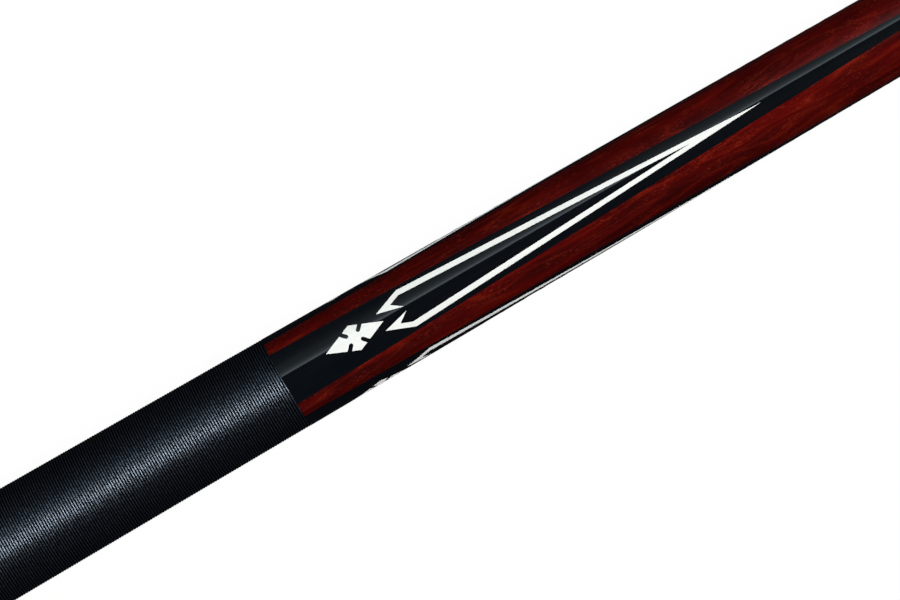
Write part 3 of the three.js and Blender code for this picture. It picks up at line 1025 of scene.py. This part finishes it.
def make_brass():
    """The shaft's insert and the bumper's bushing: tubes with eased corners and a lead-in."""
    ease = 0.3
    lead_in = 0.5
    for name, replaced, radius, body in (
            ("brass_insert", "shaft_insert", INSERT_RADIUS, "shaft_thread"),
            ("brass_bushing", "bumper_bushing", BUSHING_RADIUS, "butt")):
        start, end = span(replaced)
        outer = bevelled([(start, radius), (end, radius)], ease, ease)
        bore = [(end, STUD_BORE), (start + lead_in, STUD_BORE), (start, STUD_BORE + lead_in)]
        turned(name, [*outer, *bore], BRASS, body, [replaced], loop=True)


def make_ferrule():
    """The ferrule, a cap over the shaft's front tenon."""
    start, end = span("ferrule")
    bore = FERRULE_TENON_RADIUS + FIT_GAP
    bore_end = end - 2.5
    profile = [(bore_end, 0.0), (bore_end, bore), (start, bore), (start, FERRULE_RADIUS),
               (end, FERRULE_RADIUS), (end, 0.0)]
    turned("ivory_ferrule", profile, IVORY, "shaft", ["ferrule"])


def make_tip():
    """The leather tip, its front face a shallow dome."""
    start, end = span("tip")
    dome_radius = 10.6
    rise = math.asin(TIP_RADIUS / dome_radius)
    steps = 14
    arc = [(end - dome_radius * (1 - math.cos(rise * (1 - k / steps))),
            dome_radius * math.sin(rise * (1 - k / steps))) for k in range(steps)]
    side = [(start, 0.0), (start, TIP_RADIUS - 0.06), (start + 0.5, TIP_RADIUS)]
    turned("leather_tip", [*side, *arc, (end, 0.0)], LEATHER, "shaft", ["tip"])


def make_tip_pad():
    """The fibre pad, a plain disc between the tip and the ferrule."""
    start, end = span("tip_pad")
    profile = [(start, 0.0), (start, TIP_RADIUS), (end, TIP_RADIUS), (end, 0.0)]
    turned("fibre_pad", profile, FIBRE, "shaft", ["tip_pad"])


def make_butt_cap():
    """The butt cap, with the bore for the bushing and the recess for the handle core."""
    start, end = span("butt_cap")
    recess_start = 22.0
    recess = SLEEVE_TENON_RADIUS + FIT_GAP
    outer = bevelled(outside(start, end), 0.35, 0.0)
    bore = [(end, recess), (recess_start, recess), (recess_start, WEIGHT_BORE),
            (start, WEIGHT_BORE)]
    turned("black_butt_cap", [*outer, *bore], BLACK, "butt", ["butt_cap"],
           loop=True)


def make_bumper():
    """The rubber bumper, with the hollow that the stud's flange is moulded into."""
    start, end = span("bumper")
    face_radius = 11.5
    edge_radius = 3.5
    front_radius = 15.4
    steps = 10
    edge = [(start + edge_radius * (1 - math.cos(math.pi / 2 * k / steps)),
             face_radius + edge_radius * math.sin(math.pi / 2 * k / steps))
            for k in range(steps + 1)]
    flange = span("bumper_stud")[0]
    hollow = STUD_FLANGE_RADIUS + FIT_GAP
    hollow_rear = flange - FIT_GAP
    hollow_front = flange + STUD_FLANGE_LENGTH + FIT_GAP
    cavity = [(end, STUD_BORE), (hollow_front, STUD_BORE), (hollow_front, hollow),
              (hollow_rear, hollow), (hollow_rear, 0.0)]
    ease = 0.4
    profile = [(start, 0.0), *edge, (end - ease, front_radius), (end, front_radius - ease),
               *cavity]
    turned("rubber_bumper", profile, RUBBER, "bumper", ["bumper"])


def finish_inner_nodes():
    """The CAD nodes that stay: three that no view shows."""
    for name, material in (("forearm_bolt", STEEL), ("weight_bolt", STEEL),
                           ("handle_core", BARE_MAPLE)):
        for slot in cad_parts[name].material_slots:
            slot.material = material


make_forearm()
make_wrap()
make_joint_pin()
make_bumper_stud()
make_rings()
make_collars()
make_shaft()
make_brass()
make_ferrule()
make_tip()
make_tip_pad()
make_butt_cap()
make_bumper()
finish_inner_nodes()


# ---------------------------------------------------------------- floor, lights and camera

VIEW_TILT = math.radians(30.12)             # the cue rises this much across the picture
AIM = Vector((0.4678, -0.0029, 0.006))      # the middle of the picture
LENS = 230.0
SENSOR = 36.0
PICTURE_WIDTH = 0.2387                      # how much the picture spans at AIM, in metres
ROOM_LENGTH = 3.4                           # of the softboxes that lie along the cue


def make_camera():
    """A long lens above the cue, looking straight down."""
    data = bpy.data.cameras.new("camera")
    data.lens = LENS
    data.sensor_width = SENSOR
    camera = bpy.data.objects.new("camera", data)
    distance = PICTURE_WIDTH * LENS / SENSOR
    camera.location = AIM + Vector((0.0, 0.0, distance))
    camera.rotation_euler = (0.0, 0.0, -VIEW_TILT)
    bpy.context.scene.collection.objects.link(camera)
    bpy.context.scene.camera = camera


def make_floor():
    """A pale floor that glows evenly, so that it stays plain and takes only a faint shadow."""
    size = 60.0
    mesh = bpy.data.meshes.new("floor")
    corners = [(-size, -size), (size, -size), (size, size), (-size, size)]
    thickest = STATIONS[0][0]
    height = -(radius_at(thickest) + FACE_GAP) * MM
    mesh.from_pydata([(x, y, height) for x, y in corners], [], [(0, 1, 2, 3)])
    material = bpy.data.materials.new("pale_floor")
    material.use_nodes = True
    tree = material.node_tree
    shader = tree.nodes["Principled BSDF"]
    for key, value in {
        "Base Color": (0.04, 0.04, 0.04, 1.0),
        "Roughness": 1.0,
        "Specular IOR Level": 0.0,
        "Emission Color": (1.0, 1.0, 1.0, 1.0),
        "Emission Strength": 0.96,
    }.items():
        shader.inputs[key].default_value = value
    mesh.materials.append(material)
    floor = bpy.data.objects.new("floor", mesh)
    floor.visible_glossy = False
    floor.visible_diffuse = False
    bpy.context.scene.collection.objects.link(floor)


def make_world():
    """A dim room for reflections, with a soft fill from below; pale behind the object."""
    world = bpy.data.worlds.new("room")
    bpy.context.scene.world = world
    world.use_nodes = True
    tree = world.node_tree
    tree.nodes.clear()
    direction = node(tree, "ShaderNodeTexCoord", {}).outputs["Generated"]
    height = node(tree, "ShaderNodeSeparateXYZ", {0: direction}).outputs[2]
    level = calc(tree, "MULTIPLY_ADD", height, 0.5, 0.5)
    room = ramp(tree, level, [
        (0.40, (0.010, 0.011, 0.013)),
        (0.60, (0.030, 0.032, 0.036)),
        (1.00, (0.036, 0.040, 0.048)),
    ])
    fill = ramp(tree, level, [(0.10, 0.16), (0.45, 0.10), (0.60, 0.035)])
    path = node(tree, "ShaderNodeLightPath", {})
    lit = blend(tree, path.outputs["Is Diffuse Ray"], room, fill)
    colour = blend(tree, path.outputs["Is Camera Ray"], lit, (0.98, 0.98, 0.98))
    background = node(tree, "ShaderNodeBackground", {"Color": colour, "Strength": 1.0})
    output = node(tree, "ShaderNodeOutputWorld", {})
    tree.links.new(background.outputs[0], output.inputs["Surface"])


def add_softbox(name, position, target, length, width, radiance, colour=(1.0, 1.0, 1.0)):
    """A rectangle of light facing target, its length along X."""
    data = bpy.data.lights.new(name, "AREA")
    data.shape = "RECTANGLE"
    data.size = length
    data.size_y = width
    data.energy = radiance * math.pi * length * width
    data.color = colour
    light = bpy.data.objects.new(name, data)
    back = (Vector(position) - Vector(target)).normalized()
    sideways = Vector((0.0, 1.0, 0.0)).cross(back).normalized()
    upwards = back.cross(sideways)
    turn = Matrix((sideways, upwards, back)).transposed().to_4x4()
    light.matrix_world = Matrix.Translation(position) @ turn
    light.visible_camera = False
    bpy.context.scene.collection.objects.link(light)
    return light


def make_edge_light():
    """The long softbox beside the cue whose near edge draws the bright line on the lacquer.

    Its light is strongest along that edge and fades away from it.
    """
    angle = math.radians(44.6)              # from +Z towards +Y, to the softbox's middle
    half_angle = math.radians(28.8)         # from there to its edge
    reach = 1.0
    middle = 0.7                            # halfway along the cue
    position = (middle, reach * math.sin(angle), reach * math.cos(angle))
    width = 2 * reach * math.tan(half_angle)
    light = add_softbox("edge_softbox", position, (middle, 0.0, 0.0), ROOM_LENGTH, width, 1.0,
                        (0.76, 0.92, 1.0))
    light.data.use_nodes = True
    tree = light.data.node_tree
    across = node(tree, "ShaderNodeSeparateXYZ", {
        0: node(tree, "ShaderNodeNewGeometry", {}).outputs["Parametric"],
    }).outputs[1]
    fade = ramp(tree, across, [
        (0.00, 1.00),
        (0.05, 0.80),
        (0.10, 0.42),
        (0.14, 0.30),
        (0.21, 0.21),
        (0.28, 0.145),
        (0.41, 0.10),
        (0.54, 0.045),
        (0.67, 0.022),
        (0.81, 0.009),
    ])
    emission = tree.nodes["Emission"]
    tree.links.new(fade, emission.inputs["Color"])
    emission.inputs["Strength"].default_value = 2.2


def make_lights():
    """The edge light, two softboxes overhead, and a low fill on each side."""
    make_edge_light()
    target = (AIM.x, 0.0, 0.0)
    for name, offset in (("rear_softbox", -0.95), ("front_softbox", 0.95)):
        add_softbox(name, (AIM.x + offset, -0.24, 3.0), target, 0.5, 1.2, 24.5,
                    (1.0, 1.0, 0.985))
    for name, side in (("left_fill", 3.5), ("right_fill", -3.5)):
        fill = add_softbox(name, (AIM.x, side, 0.6), target, ROOM_LENGTH, 1.2, 2.4)
        fill.visible_glossy = False


make_camera()
make_floor()
make_world()
make_lights()
bpy.context.scene.view_settings.view_transform = "Standard"
